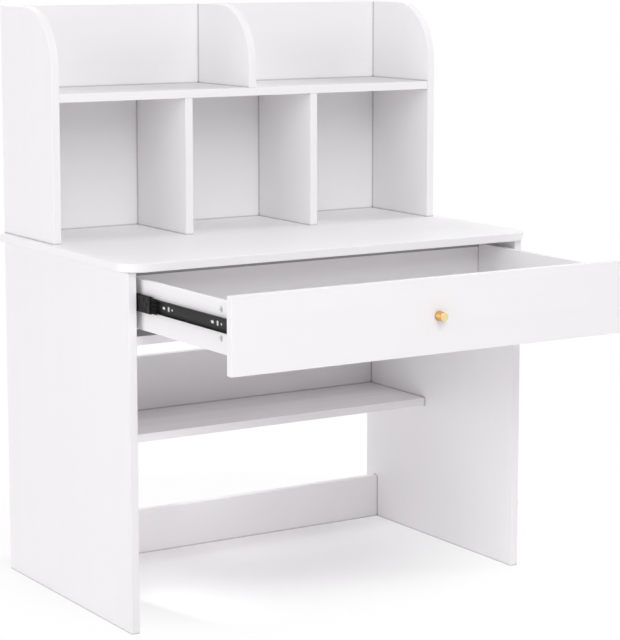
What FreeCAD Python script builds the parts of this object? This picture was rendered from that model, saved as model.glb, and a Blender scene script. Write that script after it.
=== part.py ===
"""Student desk with a hutch: one wide drawer on ball-bearing slides, a lower shelf and a bookcase top.

Millimetres. While it is being built the desk stands with X = 0 at its middle, Y = 0 at the front
edges of its two side panels, pointing to the rear, and Z = 0 on the floor. export() then moves
everything along Y, so that the origin is the middle of the footprint with the drawer drawn out.
"""
import FreeCAD, Part
import math
import os
from FreeCAD import Vector

os.makedirs("parts", exist_ok=True)

# Carcass boards
BOARD = 18.0                  # laminated board, used for every part but the drawer box
CARCASS_W = 970.0             # outside of one side panel to outside of the other
CARCASS_D = 580.0             # depth of the side panels
SIDE_H = 735.0                # height of the side panels, under the desktop
EDGE_R = 1.0                  # softened edge of the boards

# Desktop
TOP_SIDE_OVERHANG = 15.0
TOP_FRONT_OVERHANG = 20.0
TOP_CORNER_R = 50.0           # front corners, seen from above
TOP_EDGE_R = 2.0

# Rails and the lower shelf
SHELF_TOP_Z = 326.0
SHELF_FRONT_Y = 336.0
MODESTY_TOP_Z = 450.0
STRETCHER_H = 100.0
STRETCHER_INSET = 28.0        # clear of a skirting board behind the desk
DRAWER_RAIL_D = 80.0
DRAWER_RAIL_DROP = 133.0      # desktop underside to the rail's top face

# Hutch
HUTCH_H = 492.0
HUTCH_D = 246.0
HUTCH_CORNER_R = 130.0        # top front corners of the upright boards
HUTCH_SHELF_Z = 295.5         # desktop to the underside of the hutch shelf
HUTCH_BACK_INSET = 2.0
HUTCH_SHELF_SETBACK = 1.0
HUTCH_DIVIDER_SETBACK = 2.0
LOWER_BAYS = 3

# Drawer
FRONT_GAP = 2.0               # reveal round the drawer front
FRONT_H = 150.0
DRAWER_OUT = 370.0            # how far the drawer stands open
DRAWER_BOARD = 12.0
DRAWER_SIDE_L = 462.0
DRAWER_SIDE_H = 100.0
DRAWER_SIDE_DROP = 17.0       # desktop underside to the top of the drawer sides
BOTTOM_T = 3.5
BOTTOM_LIFT = 10.0            # groove above the lower edge of the drawer sides
GROOVE_DEPTH = 5.0
GROOVE_CLEAR = 0.25

# Knob
KNOB_R = 9.0
KNOB_L = 20.0
KNOB_NECK_R = 6.5
KNOB_NECK_L = 2.5
KNOB_EDGE = 0.8
KNOB_SCREW_R = 2.0
KNOB_SCREW_HEAD_R = 4.5
KNOB_SCREW_HEAD_H = 2.2
KNOB_SCREW_REACH = 9.0        # how deep the screw goes into the knob

# Three-part ball-bearing slide. Its section is drawn in U, away from the side panel, and V, up.
SLIDE_L = 450.0
SLIDE_T = 12.7
SLIDE_H = 45.0
SLIDE_CLEAR = 0.3             # between the slide and the drawer side
SLIDE_FRONT_Y = 20.0
SLIDE_DROP = 61.0             # desktop underside to the slide's middle
STEEL = 1.2                   # cabinet and drawer members
RUNNER_STEEL = 1.0            # the member between them
RUNNER_L = 440.0
RUNNER_OUT = 75.0             # how far the runner stands out of the cabinet member
RUNNER_WEB_U = 2.6
OUTER_BALL_R = 1.75
INNER_BALL_R = 1.5
BALL_CLEAR = 0.3
CURL_END_DEG = 10.0           # where the rolled edges stop, above or below level
GROOVE_HALF_DEG = 30.0
INNER_BALL_U = 5.5
MEMBER_CORNER_R = 1.0
CAGE_STEEL = 0.4
CAGE_CLEAR = 0.2
BALL_HOLE_CLEAR = 0.1
CAGE_STOP = 0.35              # cage edge to the rolled edge it runs under
OUTER_CAGE_Y = 100.0          # closed position of the outer cage
OUTER_CAGE_L = 190.0
INNER_CAGE_Y = 146.0          # closed position of the inner cage
INNER_CAGE_L = 145.0
BALLS_PER_ROW = 5
CAGE_FINGER_L = 30.0
CAGE_FINGERS = 4
CAGE_SLIT = 1.6
ACCESS_HOLE_R = 6.0
ACCESS_HOLE_Y = (60.0, 220.0, 380.0)
CABINET_SCREW_Y = (37.0, 229.0, 421.0)
MEMBER_HOLE_GROUPS = (35.0, 225.0, 390.0)   # front end to the round hole of each group
ROUND_HOLE_R = 2.5
TALL_SLOT_W = 6.5
TALL_SLOT_H = 10.0
TALL_SLOT_STEP = 14.0         # from the group's round hole
LONG_SLOT_W = 5.0
LONG_SLOT_L = 11.0
LONG_SLOT_STEP = 33.5         # from the group's round hole to the middle, where the screw sits
SLIDE_SCREW_R = 1.6
SLIDE_SCREW_HEAD_R = 3.2
CABINET_SCREW_L = 14.0
MEMBER_SCREW_L = 10.5
SCREW_CLEAR = 0.1

# Knock-down fittings: a cam in the face of one board draws a bolt that stands in the other
CAM_R = 7.5
CAM_H = 12.5
CAM_REACH = 34.0
CAM_SUNK = 0.4
CAM_CROSS_W = 2.2
CAM_CROSS_L = 10.0
CAM_CROSS_DEPTH = 1.6
DRAWER_CAM_R = 6.5
DRAWER_CAM_H = 9.5
DRAWER_CAM_REACH = 40.0
DRAWER_CAM_RISE = 27.0        # each cam above or below the slide's middle
BOLT_R = 3.0
BOLT_HEAD_R = 3.4
BOLT_NECK_R = 2.0
BOLT_NECK_L = 3.5
BOLT_HEAD_L = 2.5
BOLT_THREAD_R = 2.5
BOLT_THREAD_L = 10.5
FIT_CLEAR = 0.15
DOWEL_R = 4.0
DOWEL_L = 30.0
DOWEL_DEPTH = 12.0            # how deep a dowel stands in the face of a board
DOWEL_END = 0.5               # room past its end
HUTCH_SCREW_R = 2.1
HUTCH_SCREW_HEAD_R = 4.2
HUTCH_SCREW_HEAD_H = 3.0
HUTCH_SCREW_L = 45.0
BACK_SCREW_R = 1.7
BACK_SCREW_HEAD_R = 3.4
BACK_SCREW_HEAD_H = 1.9
BACK_SCREW_L = 35.0
BACK_SCREW_EDGE = 18.0        # drawer side's lower and upper edges to its screws

# Where the fittings sit
TOP_CAM_Y = (80.0, 500.0)
SHELF_DOWEL_STEP = 70.0
MODESTY_DOWEL_STEP = 32.0
STRETCHER_DOWEL_STEP = 28.0
RAIL_DOWEL_STEP = 26.0
HUTCH_CAM_Z = (80.0, 410.0)   # above the desktop
HUTCH_SHELF_DOWEL_STEP = 75.0
HUTCH_FOOT_DOWEL_Y = (50.0, 200.0)   # behind the front of the hutch
DIVIDER_DOWEL_Y = (50.0, 170.0)
HUTCH_BACK_SCREW_X = (-380.0, 0.0, 380.0)

# Places worked out from the sizes above
INNER_X = CARCASS_W / 2 - BOARD
TOP_Z = SIDE_H + BOARD
HUTCH_TOP_Z = TOP_Z + HUTCH_H
HUTCH_FRONT_Y = CARCASS_D - HUTCH_D
HUTCH_BACK_Y = CARCASS_D - HUTCH_BACK_INSET - BOARD
HUTCH_SHELF_BOTTOM_Z = TOP_Z + HUTCH_SHELF_Z
HUTCH_SHELF_TOP_Z = HUTCH_SHELF_BOTTOM_Z + BOARD
RAIL_TOP_Z = SIDE_H - DRAWER_RAIL_DROP
RAIL_FRONT_Y = BOARD + FRONT_GAP
FRONT_Y = -DRAWER_OUT
FRONT_BACK_Y = FRONT_Y + BOARD
FRONT_TOP_Z = SIDE_H - FRONT_GAP
FRONT_BOTTOM_Z = FRONT_TOP_Z - FRONT_H
SLIDE_Z = SIDE_H - SLIDE_DROP
DRAWER_OUTER_X = INNER_X - SLIDE_T - SLIDE_CLEAR
DRAWER_INNER_X = DRAWER_OUTER_X - DRAWER_BOARD
DRAWER_TOP_Z = SIDE_H - DRAWER_SIDE_DROP
DRAWER_BOTTOM_Z = DRAWER_TOP_Z - DRAWER_SIDE_H
DRAWER_BACK_Y = FRONT_BACK_Y + DRAWER_SIDE_L
BOTTOM_Z = DRAWER_BOTTOM_Z + BOTTOM_LIFT
KNOB_Z = FRONT_BOTTOM_Z + FRONT_H / 2
KNOB_FRONT_Y = FRONT_Y - KNOB_L
ORIGIN_Y = (KNOB_FRONT_Y + CARCASS_D) / 2
OUTER_RACE_R = OUTER_BALL_R + BALL_CLEAR
INNER_RACE_R = INNER_BALL_R + BALL_CLEAR
OUTER_BALL = (OUTER_RACE_R + STEEL, SLIDE_H / 2 - OUTER_RACE_R - STEEL)

X = Vector(1, 0, 0)
Y = Vector(0, 1, 0)
Z = Vector(0, 0, 1)


# ---------------------------------------------------------------- small helpers

def box(x0, x1, y0, y1, z0, z1):
    return Part.makeBox(x1 - x0, y1 - y0, z1 - z0, Vector(x0, y0, z0))


def mirrored(shape):
    """The same piece on the other side of the desk."""
    return shape.mirror(Vector(0, 0, 0), X)


def both_sides(shapes):
    return shapes + [mirrored(shape) for shape in shapes]


def cut(shape, tools):
    return shape.cut(Part.makeCompound(tools)).Solids[0] if tools else shape


def face_of(edges):
    return Part.Face(Part.Wire(edges))


def line(a, b):
    return Part.LineSegment(a, b).toShape()


def soften(shape, radius, wanted):
    """Round the straight edges whose middle and direction the function wanted() accepts."""
    straight = [edge for edge in shape.Edges if isinstance(edge.Curve, Part.Line)]
    edges = [edge for edge in straight
             if wanted(edge.CenterOfMass, edge.tangentAt(edge.FirstParameter))]
    return shape.makeFillet(radius, edges) if edges else shape


def near(a, b):
    return abs(a - b) < 1e-3


# ---------------------------------------------------------------- knock-down fittings

class Fitting:
    """A cam, its bolt and the holes for both.

    foot lies on the plane where the two boards meet, in the middle of the cammed board's
    thickness; along points into the cammed board and face out of the face that holds the cam.
    """

    def __init__(self, foot, along, face, board=BOARD, radius=CAM_R, height=CAM_H, reach=CAM_REACH):
        self.foot, self.along, self.face = foot, along, face
        self.radius, self.height, self.reach = radius, height, reach
        self.mouth = foot + along * reach + face * (board / 2)

    def bolt(self):
        shank = self.reach - BOLT_NECK_L - BOLT_HEAD_L
        lengths = (BOLT_THREAD_L, shank, BOLT_NECK_L, BOLT_HEAD_L)
        radii = (BOLT_THREAD_R, BOLT_R, BOLT_NECK_R, BOLT_HEAD_R)
        start = self.foot - self.along * BOLT_THREAD_L
        pieces = []
        for length, radius in zip(lengths, radii):
            pieces.append(Part.makeCylinder(radius, length, start, self.along))
            start = start + self.along * length
        return pieces[0].multiFuse(pieces[1:]).removeSplitter().Solids[0]

    def bolt_bore(self, radius, past):
        return Part.makeCylinder(radius, self.reach + past, self.foot, self.along)

    def cam(self):
        top = self.mouth - self.face * CAM_SUNK
        body = Part.makeCylinder(self.radius, self.height, top, self.face * -1)
        bore = self.bolt_bore(BOLT_HEAD_R + 2 * FIT_CLEAR, BOLT_HEAD_R)
        across = self.face.cross(self.along)
        return cut(body, [bore, self.cross_arm(self.along, top), self.cross_arm(across, top)])

    def cross_arm(self, way, top):
        """One arm of the driver recess in the cam's head."""
        side = self.face.cross(way)
        corner = top - way * (CAM_CROSS_L / 2) - side * (CAM_CROSS_W / 2)
        corners = [corner, corner + way * CAM_CROSS_L, corner + way * CAM_CROSS_L + side * CAM_CROSS_W,
                   corner + side * CAM_CROSS_W, corner]
        return Part.Face(Part.makePolygon(corners)).extrude(self.face * -CAM_CROSS_DEPTH)

    def cam_holes(self):
        """What the cam and the bolt's shank take out of the cammed board."""
        depth = CAM_SUNK + self.height + FIT_CLEAR
        pocket = Part.makeCylinder(self.radius + FIT_CLEAR, depth, self.mouth, self.face * -1)
        return [pocket, self.bolt_bore(BOLT_R + 2 * FIT_CLEAR, 0)]

    def thread_hole(self):
        """What the bolt's thread takes out of the other board."""
        depth = BOLT_THREAD_L + FIT_CLEAR
        return Part.makeCylinder(BOLT_THREAD_R + FIT_CLEAR, depth, self.foot, self.along * -1)


class Dowel:
    """A dowel whose short end stands in the face behind foot and whose long end lies along."""

    def __init__(self, foot, along):
        self.foot, self.along = foot, along

    def solid(self):
        start = self.foot - self.along * DOWEL_DEPTH
        return Part.makeCylinder(DOWEL_R, DOWEL_L, start, self.along)

    def short_hole(self):
        depth = DOWEL_DEPTH + DOWEL_END
        return Part.makeCylinder(DOWEL_R + FIT_CLEAR, depth, self.foot, self.along * -1)

    def long_hole(self):
        depth = DOWEL_L - DOWEL_DEPTH + DOWEL_END
        return Part.makeCylinder(DOWEL_R + FIT_CLEAR, depth, self.foot, self.along)


class Screw:
    """A countersunk screw whose head is flush at mouth and whose shank runs along."""

    def __init__(self, mouth, along, radius, head_r, head_h, length):
        self.mouth, self.along, self.radius = mouth, along, radius
        self.head_r, self.head_h, self.length = head_r, head_h, length

    def body(self, extra):
        radius, head_r = self.radius + extra, self.head_r + extra
        head = Part.makeCone(head_r, radius, self.head_h, self.mouth, self.along)
        shank = Part.makeCylinder(radius, self.length + extra, self.mouth, self.along)
        return head.fuse(shank).removeSplitter().Solids[0]

    def solid(self):
        return self.body(0)

    def hole(self):
        return self.body(SCREW_CLEAR)


def thread_holes(fittings):
    return [fitting.thread_hole() for fitting in fittings]


def cam_holes(fittings):
    return [hole for fitting in fittings for hole in fitting.cam_holes()]


def short_holes(dowels):
    return [dowel.short_hole() for dowel in dowels]


def long_holes(dowels):
    return [dowel.long_hole() for dowel in dowels]


# ---------------------------------------------------------------- where the fittings go (left side)

def end_fittings(y, z, face):
    """The fitting at the left end of a board that spans the two side panels."""
    return [Fitting(Vector(-INNER_X, y, z), X, face)]


def end_dowels(points):
    return [Dowel(Vector(-INNER_X, y, z), X) for y, z in points]


def stepped(centre, step):
    return (centre - step, centre + step)


SHELF_MID = ((SHELF_FRONT_Y + CARCASS_D - BOARD) / 2, SHELF_TOP_Z - BOARD / 2)
MODESTY_MID = (CARCASS_D - BOARD / 2, (SHELF_TOP_Z - BOARD + MODESTY_TOP_Z) / 2)
STRETCHER_MID = (CARCASS_D - STRETCHER_INSET - BOARD / 2, STRETCHER_H / 2)
RAIL_MID = (RAIL_FRONT_Y + DRAWER_RAIL_D / 2, RAIL_TOP_Z - BOARD / 2)
HUTCH_SHELF_MID = ((HUTCH_FRONT_Y + HUTCH_BACK_Y) / 2, HUTCH_SHELF_BOTTOM_Z + BOARD / 2)
HUTCH_BACK_MID_Y = HUTCH_BACK_Y + BOARD / 2

TOP_FITTINGS = [Fitting(Vector(-CARCASS_W / 2 + BOARD / 2, y, SIDE_H), Z * -1, X) for y in TOP_CAM_Y]
SHELF_FITTINGS = end_fittings(*SHELF_MID, Z * -1)
MODESTY_FITTINGS = end_fittings(*MODESTY_MID, Y)
STRETCHER_FITTINGS = end_fittings(*STRETCHER_MID, Y)
RAIL_FITTINGS = end_fittings(*RAIL_MID, Z * -1)
HUTCH_SHELF_FITTINGS = end_fittings(*HUTCH_SHELF_MID, Z * -1)
HUTCH_BACK_FITTINGS = [end_fittings(HUTCH_BACK_MID_Y, TOP_Z + z, Y)[0] for z in HUTCH_CAM_Z]

SHELF_DOWELS = end_dowels([(y, SHELF_MID[1]) for y in stepped(SHELF_MID[0], SHELF_DOWEL_STEP)])
MODESTY_DOWELS = end_dowels([(MODESTY_MID[0], z) for z in stepped(MODESTY_MID[1], MODESTY_DOWEL_STEP)])
STRETCHER_DOWELS = end_dowels([(STRETCHER_MID[0], z)
                               for z in stepped(STRETCHER_MID[1], STRETCHER_DOWEL_STEP)])
RAIL_DOWELS = end_dowels([(y, RAIL_MID[1]) for y in stepped(RAIL_MID[0], RAIL_DOWEL_STEP)])
HUTCH_SHELF_DOWELS = end_dowels([(y, HUTCH_SHELF_MID[1])
                                 for y in stepped(HUTCH_SHELF_MID[0], HUTCH_SHELF_DOWEL_STEP)])
HUTCH_FOOT_DOWELS = [Dowel(Vector(-CARCASS_W / 2 + BOARD / 2, HUTCH_FRONT_Y + y, TOP_Z), Z)
                     for y in HUTCH_FOOT_DOWEL_Y]


# ---------------------------------------------------------------- carcass

def side_panel():
    panel = box(-CARCASS_W / 2, -INNER_X, 0, CARCASS_D, 0, SIDE_H)
    panel = soften(panel, EDGE_R, lambda mid, way: near(mid.y, 0))
    spanning = SHELF_FITTINGS + MODESTY_FITTINGS + STRETCHER_FITTINGS + RAIL_FITTINGS
    holes = cam_holes(TOP_FITTINGS) + thread_holes(spanning)
    holes += short_holes(SHELF_DOWELS + MODESTY_DOWELS + STRETCHER_DOWELS + RAIL_DOWELS)
    holes += [screw.hole() for screw in cabinet_screws()]
    return cut(panel, holes)


def desktop():
    half = CARCASS_W / 2 + TOP_SIDE_OVERHANG
    slab = box(-half, half, -TOP_FRONT_OVERHANG, CARCASS_D, SIDE_H, TOP_Z)
    slab = soften(slab, TOP_CORNER_R,
                  lambda mid, way: abs(way.z) > 0.9 and near(mid.y, -TOP_FRONT_OVERHANG))
    rims = [edge for edge in slab.Edges if near(edge.BoundBox.ZLength, 0)]
    slab = slab.makeFillet(TOP_EDGE_R, rims)
    holes = thread_holes(TOP_FITTINGS) + short_holes(HUTCH_FOOT_DOWELS)
    return cut(slab, both_sides(holes) + [screw.hole() for screw in hutch_screws()])


def spanning_board(y0, y1, z0, z1, fittings, dowels):
    """A board between the side panels, with a cam and dowels at each end."""
    board = box(-INNER_X, INNER_X, y0, y1, z0, z1)
    board = soften(board, EDGE_R, lambda mid, way: near(mid.x, 0) and near(mid.y, y0))
    return cut(board, both_sides(cam_holes(fittings) + long_holes(dowels)))


def lower_shelf():
    return spanning_board(SHELF_FRONT_Y, CARCASS_D - BOARD, SHELF_TOP_Z - BOARD, SHELF_TOP_Z,
                          SHELF_FITTINGS, SHELF_DOWELS)


def modesty_panel():
    return spanning_board(CARCASS_D - BOARD, CARCASS_D, SHELF_TOP_Z - BOARD, MODESTY_TOP_Z,
                          MODESTY_FITTINGS, MODESTY_DOWELS)


def rear_stretcher():
    back = CARCASS_D - STRETCHER_INSET
    return spanning_board(back - BOARD, back, 0, STRETCHER_H, STRETCHER_FITTINGS, STRETCHER_DOWELS)


def drawer_rail():
    return spanning_board(RAIL_FRONT_Y, RAIL_FRONT_Y + DRAWER_RAIL_D, RAIL_TOP_Z - BOARD, RAIL_TOP_Z,
                          RAIL_FITTINGS, RAIL_DOWELS)


# ---------------------------------------------------------------- hutch

def rounded_upright(x0, front, back, bottom):
    """An upright board with a large quarter round at its top front corner."""
    crown = HUTCH_TOP_Z
    centre = Vector(x0, front + HUTCH_CORNER_R, crown - HUTCH_CORNER_R)
    slant = HUTCH_CORNER_R * math.sqrt(0.5)
    corners = [Vector(x0, front, bottom), Vector(x0, back, bottom), Vector(x0, back, crown),
               Vector(x0, centre.y, crown), Vector(x0, front, centre.z)]
    bend = Part.Arc(corners[3], centre + Vector(0, -slant, slant), corners[4]).toShape()
    outline = [line(corners[0], corners[1]), line(corners[1], corners[2]),
               line(corners[2], corners[3]), bend, line(corners[4], corners[0])]
    upright = face_of(outline).extrude(X * BOARD)
    rim = [edge for edge in upright.Edges if edge.BoundBox.XLength < 1e-3 and (
        near(edge.BoundBox.YMax, front) or not isinstance(edge.Curve, Part.Line))]
    return upright.makeFillet(EDGE_R, rim)


def hutch_side():
    upright = rounded_upright(-CARCASS_W / 2, HUTCH_FRONT_Y, CARCASS_D, TOP_Z)
    holes = thread_holes(HUTCH_SHELF_FITTINGS + HUTCH_BACK_FITTINGS)
    return cut(upright, holes + short_holes(HUTCH_SHELF_DOWELS) + long_holes(HUTCH_FOOT_DOWELS))


def hutch_back():
    panel = box(-INNER_X, INNER_X, HUTCH_BACK_Y, HUTCH_BACK_Y + BOARD, TOP_Z, HUTCH_TOP_Z)
    holes = both_sides(cam_holes(HUTCH_BACK_FITTINGS)) + [screw.hole() for screw in hutch_screws()]
    return cut(panel, holes)


def hutch_shelf():
    front = HUTCH_FRONT_Y + HUTCH_SHELF_SETBACK
    board = spanning_board(front, HUTCH_BACK_Y, HUTCH_SHELF_BOTTOM_Z, HUTCH_SHELF_TOP_Z,
                           HUTCH_SHELF_FITTINGS, HUTCH_SHELF_DOWELS)
    return cut(board, short_holes(upper_divider_dowels() + lower_divider_dowels()))


def bay_x(index):
    """Left face of the lower divider after bay number index, counted from the left."""
    bay = (2 * INNER_X - (LOWER_BAYS - 1) * BOARD) / LOWER_BAYS
    return -INNER_X + index * bay + (index - 1) * BOARD


def upper_divider_dowels():
    return [Dowel(Vector(0, HUTCH_FRONT_Y + y, HUTCH_SHELF_TOP_Z), Z) for y in DIVIDER_DOWEL_Y]


def divider_dowels(index):
    middle = bay_x(index) + BOARD / 2
    return [Dowel(Vector(middle, HUTCH_FRONT_Y + y, HUTCH_SHELF_BOTTOM_Z), Z * -1)
            for y in DIVIDER_DOWEL_Y]


def lower_divider_dowels():
    return [dowel for index in range(1, LOWER_BAYS) for dowel in divider_dowels(index)]


def hutch_upper_divider():
    front = HUTCH_FRONT_Y + HUTCH_SHELF_SETBACK
    upright = rounded_upright(-BOARD / 2, front, HUTCH_BACK_Y, HUTCH_SHELF_TOP_Z)
    return cut(upright, long_holes(upper_divider_dowels()))


def hutch_lower_divider(index):
    x0 = bay_x(index)
    front = HUTCH_FRONT_Y + HUTCH_DIVIDER_SETBACK
    board = box(x0, x0 + BOARD, front, HUTCH_BACK_Y, TOP_Z, HUTCH_SHELF_BOTTOM_Z)
    board = soften(board, EDGE_R, lambda mid, way: abs(way.z) > 0.9 and near(mid.y, front))
    return cut(board, long_holes(divider_dowels(index)) + [screw.hole() for screw in hutch_screws()])


def hutch_screws():
    """Screws that come up through the desktop into the hutch's dividers and back."""
    spots = [(bay_x(index) + BOARD / 2, HUTCH_FRONT_Y + y)
             for index in range(1, LOWER_BAYS) for y in DIVIDER_DOWEL_Y]
    spots += [(x, HUTCH_BACK_MID_Y) for x in HUTCH_BACK_SCREW_X]
    return [Screw(Vector(x, y, SIDE_H), Z, HUTCH_SCREW_R, HUTCH_SCREW_HEAD_R, HUTCH_SCREW_HEAD_H,
                  HUTCH_SCREW_L) for x, y in spots]


# ---------------------------------------------------------------- drawer

def drawer_fittings():
    """The left drawer side's two cams, whose bolts stand in the drawer front."""
    middle = -DRAWER_OUTER_X + DRAWER_BOARD / 2
    return [Fitting(Vector(middle, FRONT_BACK_Y, z), Y, X * -1, DRAWER_BOARD, DRAWER_CAM_R,
                    DRAWER_CAM_H, DRAWER_CAM_REACH) for z in stepped(SLIDE_Z, DRAWER_CAM_RISE)]


def back_screws():
    """Screws through the left drawer side into the end of the drawer back."""
    y = DRAWER_BACK_Y - DRAWER_BOARD / 2
    heights = (BOTTOM_Z + BACK_SCREW_EDGE, DRAWER_TOP_Z - BACK_SCREW_EDGE)
    return [Screw(Vector(-DRAWER_OUTER_X, y, z), X, BACK_SCREW_R, BACK_SCREW_HEAD_R, BACK_SCREW_HEAD_H,
                  BACK_SCREW_L) for z in heights]


def bottom_slot():
    """The groove that the drawer bottom slides into, as one flat block."""
    reach = DRAWER_INNER_X + GROOVE_DEPTH + GROOVE_CLEAR
    return box(-reach, reach, FRONT_BACK_Y - GROOVE_DEPTH - GROOVE_CLEAR, DRAWER_BACK_Y,
               BOTTOM_Z - GROOVE_CLEAR, BOTTOM_Z + BOTTOM_T + GROOVE_CLEAR)


def drawer_front():
    half = INNER_X - FRONT_GAP
    board = box(-half, half, FRONT_Y, FRONT_BACK_Y, FRONT_BOTTOM_Z, FRONT_TOP_Z)
    board = soften(board, EDGE_R, lambda mid, way: near(mid.y, FRONT_Y))
    holes = both_sides(thread_holes(drawer_fittings())) + [bottom_slot(), knob_screw_hole()]
    return cut(board, holes)


def drawer_side():
    board = box(-DRAWER_OUTER_X, -DRAWER_INNER_X, FRONT_BACK_Y, DRAWER_BACK_Y,
                DRAWER_BOTTOM_Z, DRAWER_TOP_Z)
    board = soften(board, EDGE_R, lambda mid, way: abs(way.y) > 0.9 and near(mid.z, DRAWER_TOP_Z))
    holes = cam_holes(drawer_fittings()) + [screw.hole() for screw in back_screws() + member_screws()]
    return cut(board, holes + [bottom_slot()])


def drawer_back():
    board = box(-DRAWER_INNER_X, DRAWER_INNER_X, DRAWER_BACK_Y - DRAWER_BOARD, DRAWER_BACK_Y,
                BOTTOM_Z + BOTTOM_T + GROOVE_CLEAR, DRAWER_TOP_Z)
    return cut(board, both_sides([screw.hole() for screw in back_screws()]))


def drawer_bottom():
    half = DRAWER_INNER_X + GROOVE_DEPTH
    return box(-half, half, FRONT_BACK_Y - GROOVE_DEPTH, DRAWER_BACK_Y, BOTTOM_Z, BOTTOM_Z + BOTTOM_T)


def knob():
    """A turned knob: a neck that seats on the drawer front and a plain barrel."""
    profile = [Vector(0, FRONT_Y, KNOB_Z), Vector(KNOB_NECK_R, FRONT_Y, KNOB_Z),
               Vector(KNOB_NECK_R, FRONT_Y - KNOB_NECK_L, KNOB_Z),
               Vector(KNOB_R - KNOB_EDGE, FRONT_Y - KNOB_NECK_L, KNOB_Z),
               Vector(KNOB_R, FRONT_Y - KNOB_NECK_L - KNOB_EDGE, KNOB_Z),
               Vector(KNOB_R, KNOB_FRONT_Y + KNOB_EDGE, KNOB_Z),
               Vector(KNOB_R - KNOB_EDGE, KNOB_FRONT_Y, KNOB_Z), Vector(0, KNOB_FRONT_Y, KNOB_Z)]
    turned = Part.Face(Part.makePolygon(profile + profile[:1])).revolve(Vector(0, 0, KNOB_Z), Y, 360)
    bore = Part.makeCylinder(KNOB_SCREW_R + SCREW_CLEAR, KNOB_SCREW_REACH + SCREW_CLEAR,
                             Vector(0, FRONT_Y, KNOB_Z), Y * -1)
    return cut(turned, [bore])


def knob_screw():
    seat = Vector(0, FRONT_BACK_Y, KNOB_Z)
    head = Part.makeCylinder(KNOB_SCREW_HEAD_R, KNOB_SCREW_HEAD_H, seat, Y)
    shank = Part.makeCylinder(KNOB_SCREW_R, BOARD + KNOB_SCREW_REACH, seat, Y * -1)
    return head.fuse(shank).removeSplitter().Solids[0]


def knob_screw_hole():
    return Part.makeCylinder(KNOB_SCREW_R + SCREW_CLEAR, BOARD, Vector(0, FRONT_BACK_Y, KNOB_Z), Y * -1)


# ---------------------------------------------------------------- ball-bearing slides (left side)

def section_point(u, v, y=0):
    return Vector(-INNER_X + u, y, SLIDE_Z + v)


def around(centre, radius, degrees):
    angle = math.radians(degrees)
    return centre[0] + radius * math.cos(angle), centre[1] + radius * math.sin(angle)


def section_line(a, b):
    return line(section_point(*a), section_point(*b))


def section_arc(centre, radius, start, end):
    """An arc between two angles in degrees, by way of the angle half way between them."""
    ends = [section_point(*around(centre, radius, angle)) for angle in (start, (start + end) / 2, end)]
    return Part.Arc(*ends).toShape()


def rolled(edges, steel, y0, length):
    """A rolled steel member: its upper middle line thickened, drawn along Y and mirrored down."""
    wire = Part.Wire(edges)
    faces = [wire.makeOffset2D(side * steel / 2, 0, True, True) for side in (1, -1)]
    layers = [face.translated(Y * y0).extrude(Y * length) for face in faces]
    lower = [layer.mirror(section_point(0, 0), Z) for layer in layers]
    return layers[0].multiFuse(layers[1:] + lower).removeSplitter().Solids[0]


def inner_ball_centre():
    """The inner balls sit where the runner's two opposed grooves run into each other smoothly."""
    groove = OUTER_RACE_R + RUNNER_STEEL + INNER_RACE_R
    across = INNER_BALL_U - OUTER_BALL[0]
    return INNER_BALL_U, OUTER_BALL[1] - math.sqrt(groove ** 2 - across ** 2)


def cabinet_member_blank():
    radius = OUTER_RACE_R + STEEL / 2
    web = section_line((STEEL / 2, 0), (STEEL / 2, OUTER_BALL[1]))
    curl = section_arc(OUTER_BALL, radius, 180, CURL_END_DEG)
    return rolled([web, curl], STEEL, SLIDE_FRONT_Y, SLIDE_L)


def cabinet_member():
    return cut(cabinet_member_blank(), [screw.hole() for screw in cabinet_screws()])


def runner_front_y():
    return SLIDE_FRONT_Y + (SLIDE_L - RUNNER_L) / 2 - RUNNER_OUT


def runner():
    """The middle member: its edge first cups the outer balls and then wraps the inner ones."""
    outer_r = OUTER_RACE_R + RUNNER_STEEL / 2
    inner_r = INNER_RACE_R + RUNNER_STEEL / 2
    inner = inner_ball_centre()
    lean = math.degrees(math.atan2(inner[1] - OUTER_BALL[1], inner[0] - OUTER_BALL[0]))
    start = -math.degrees(math.acos((RUNNER_WEB_U - OUTER_BALL[0]) / outer_r))
    web = section_line((RUNNER_WEB_U, 0), around(OUTER_BALL, outer_r, start))
    cup = section_arc(OUTER_BALL, outer_r, start, lean)
    wrap = section_arc(inner, inner_r, lean + 180, -CURL_END_DEG)
    front = runner_front_y()
    blank = rolled([web, cup, wrap], RUNNER_STEEL, front, RUNNER_L)
    holes = [Part.makeCylinder(ACCESS_HOLE_R, RUNNER_STEEL * 2,
                               section_point(RUNNER_WEB_U - RUNNER_STEEL, 0, front + y), X)
             for y in ACCESS_HOLE_Y]
    return cut(blank, holes)


def drawer_member_front_y():
    return SLIDE_FRONT_Y - DRAWER_OUT


def drawer_member():
    """The member on the drawer side, with its groups of punched holes."""
    inner = inner_ball_centre()
    radius = INNER_RACE_R + STEEL / 2
    web_u = SLIDE_T - STEEL / 2
    corner = MEMBER_CORNER_R + STEEL / 2
    lip = around(inner, radius, -90 + GROOVE_HALF_DEG)
    web = section_line((web_u, 0), (web_u, lip[1] - corner))
    bend = section_arc((web_u - corner, lip[1] - corner), corner, 0, 90)
    flange = section_line((web_u - corner, lip[1]), lip)
    groove = section_arc(inner, radius, -90 + GROOVE_HALF_DEG, -90 - GROOVE_HALF_DEG)
    blank = rolled([web, bend, flange, groove], STEEL, drawer_member_front_y(), SLIDE_L)
    return cut(blank, member_slots() + [screw.hole() for screw in member_screws()])


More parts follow.
